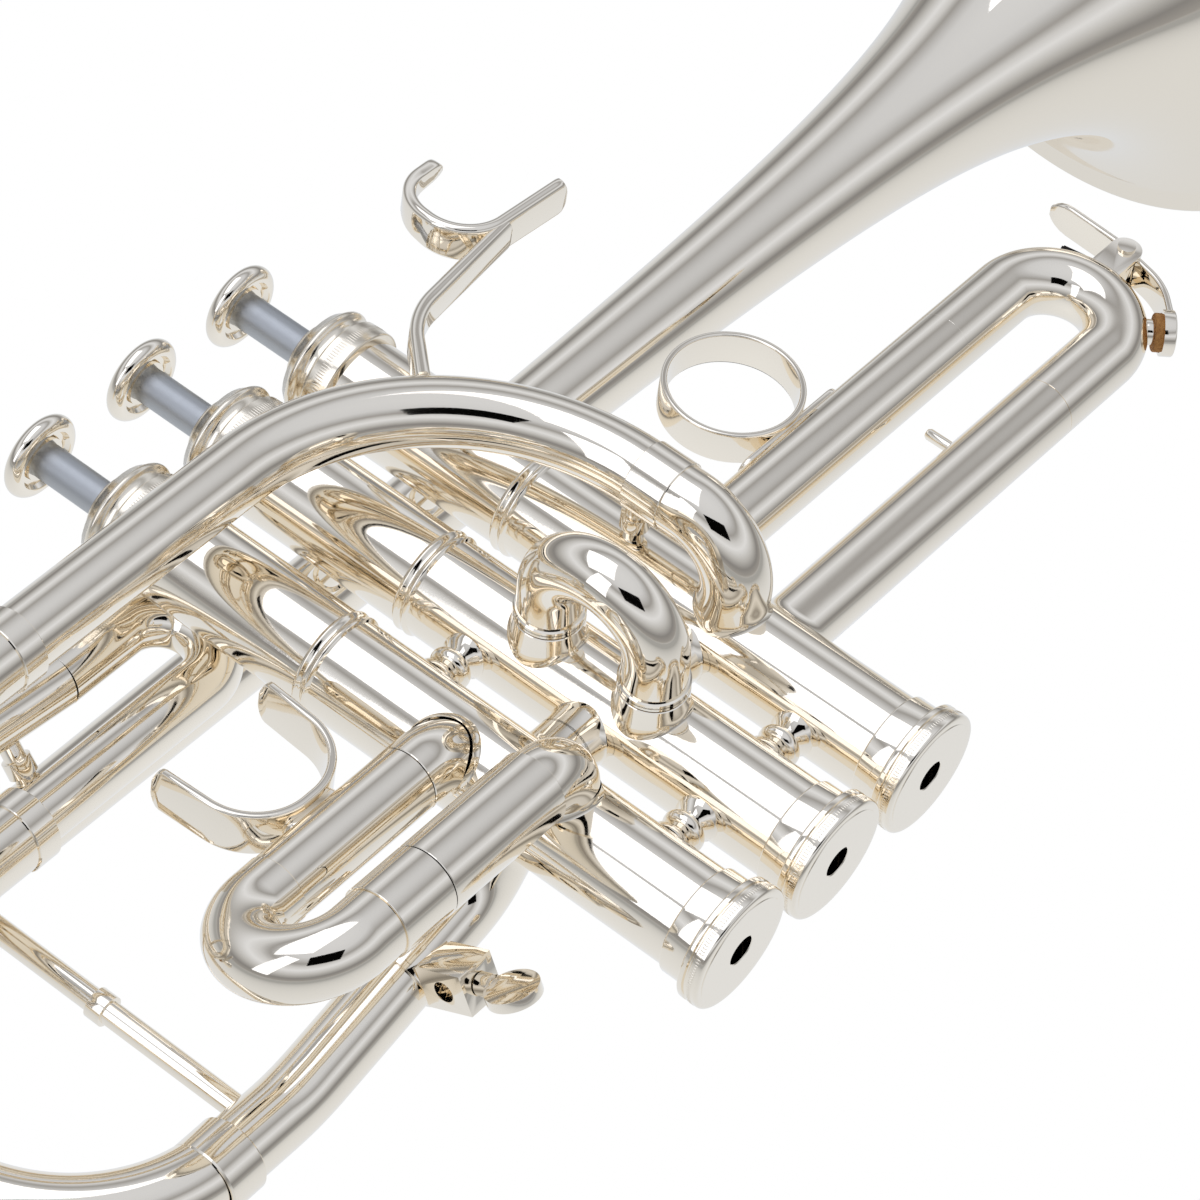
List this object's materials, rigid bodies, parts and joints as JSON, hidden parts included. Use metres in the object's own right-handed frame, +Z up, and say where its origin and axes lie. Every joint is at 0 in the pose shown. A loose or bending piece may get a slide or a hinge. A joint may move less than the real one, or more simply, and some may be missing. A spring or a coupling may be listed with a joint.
{
  "type": "cornet",
  "caption": "Silver-plated valve cornet lying on its side, with sprung valves, pull-out slides, water keys, finger ring and mouthpiece.",
  "frame": {"origin": "centre of the footprint at the lowest point of the bell rim, the cornet lying on its left side", "axes": "+X towards the bell, +Y along the valves towards the finger buttons, +Z up, the player's right"},
  "size_m": [0.4356, 0.1763, 0.1287],
  "materials": {
    "silver": "polished silver plate",
    "stem": "satin grey metal",
    "nickel": "lapped nickel alloy",
    "spring_steel": "drawn wire",
    "felt": "pressed wool felt",
    "cork": "cut cork"
  },
  "bodies": {
    "horn": {"valve_casing_1": "silver", "valve_casing_2": "silver", "valve_casing_3": "silver", "valve_links": "silver", "bottom_cap_1": "silver", "bottom_cap_2": "silver", "bottom_cap_3": "silver", "top_cap_1": "silver", "top_cap_2": "silver", "top_cap_3": "silver", "valve_spring_1": "spring_steel", "valve_spring_2": "spring_steel", "valve_spring_3": "spring_steel", "mouthpiece": "silver", "receiver": "silver", "leadpipe": "silver", "leadpipe_bow": "silver", "return_tube": "silver", "tuning_sleeves": "silver", "entry_tube": "silver", "entry_elbow": "silver", "braces": "silver", "finger_hook": "silver", "first_knuckles": "silver", "second_stubs": "silver", "third_legs": "silver", "bell_tail": "silver", "lyre_holder": "silver", "bell_crook": "silver", "bell": "silver"},
    "valve_1": {"piston_1": "nickel", "valve_stem_1": "stem", "valve_felt_1": "felt", "finger_button_1": "silver"},
    "valve_2": {"piston_2": "nickel", "valve_stem_2": "stem", "valve_felt_2": "felt", "finger_button_2": "silver"},
    "valve_3": {"piston_3": "nickel", "valve_stem_3": "stem", "valve_felt_3": "felt", "finger_button_3": "silver"},
    "first_slide_unit": {"first_slide": "silver", "thumb_saddle": "silver"},
    "second_slide_unit": {"second_slide": "silver"},
    "third_slide_unit": {"third_slide": "silver", "finger_ring": "silver", "third_key_saddle": "silver", "third_key_spring": "spring_steel"},
    "tuning_slide_unit": {"tuning_slide": "silver", "tuning_key_saddle": "silver", "tuning_key_spring": "spring_steel"},
    "third_water_key": {"third_key_lever": "silver", "third_key_cork": "cork"},
    "tuning_water_key": {"tuning_key_lever": "silver", "tuning_key_cork": "cork"},
    "lyre_clamp_screw": {"lyre_screw": "silver"}
  },
  "joints": [
    {"name": "valve_1_press", "type": "slide", "parent": "horn", "child": "valve_1", "axis": [0, -1, 0], "range_m": [0, 0.014], "stiffness_N_per_m": 90, "springref_m": -0.012, "deforming": ["valve_spring_1"]},
    {"name": "valve_2_press", "type": "slide", "parent": "horn", "child": "valve_2", "axis": [0, -1, 0], "range_m": [0, 0.014], "stiffness_N_per_m": 90, "springref_m": -0.012, "deforming": ["valve_spring_2"]},
    {"name": "valve_3_press", "type": "slide", "parent": "horn", "child": "valve_3", "axis": [0, -1, 0], "range_m": [0, 0.014], "stiffness_N_per_m": 90, "springref_m": -0.012, "deforming": ["valve_spring_3"]},
    {"name": "first_slide_pull", "type": "slide", "parent": "horn", "child": "first_slide_unit", "axis": [-1, 0, 0], "range_m": [0, 0.016]},
    {"name": "second_slide_pull", "type": "slide", "parent": "horn", "child": "second_slide_unit", "axis": [-0.1219, 0, 0.9925], "range_m": [0, 0.005]},
    {"name": "third_slide_pull", "type": "slide", "parent": "horn", "child": "third_slide_unit", "axis": [1, 0, 0], "range_m": [0, 0.03]},
    {"name": "tuning_slide_pull", "type": "slide", "parent": "horn", "child": "tuning_slide_unit", "axis": [-1, 0, 0], "range_m": [0, 0.018]},
    {"name": "third_key_press", "type": "hinge", "parent": "third_slide_unit", "child": "third_water_key", "pos_m": [0.11346, -0.0398, 0.0905], "axis": [0, 0, 1], "range_deg": [0, 12], "stiffness_Nm_per_rad": 0.02, "springref_deg": -17.19},
    {"name": "tuning_key_press", "type": "hinge", "parent": "tuning_slide_unit", "child": "tuning_water_key", "pos_m": [-0.17666, 0.02378, 0.094], "axis": [0, 0.9916, -0.1294], "range_deg": [0, 12], "stiffness_Nm_per_rad": 0.02, "springref_deg": -17.19},
    {"name": "lyre_screw_turn", "type": "hinge", "parent": "horn", "child": "lyre_clamp_screw", "pos_m": [-0.08947, -0.05211, 0.07501], "axis": [0, -0.866, 0.5], "range_deg": [-180, 180]}
  ]
}
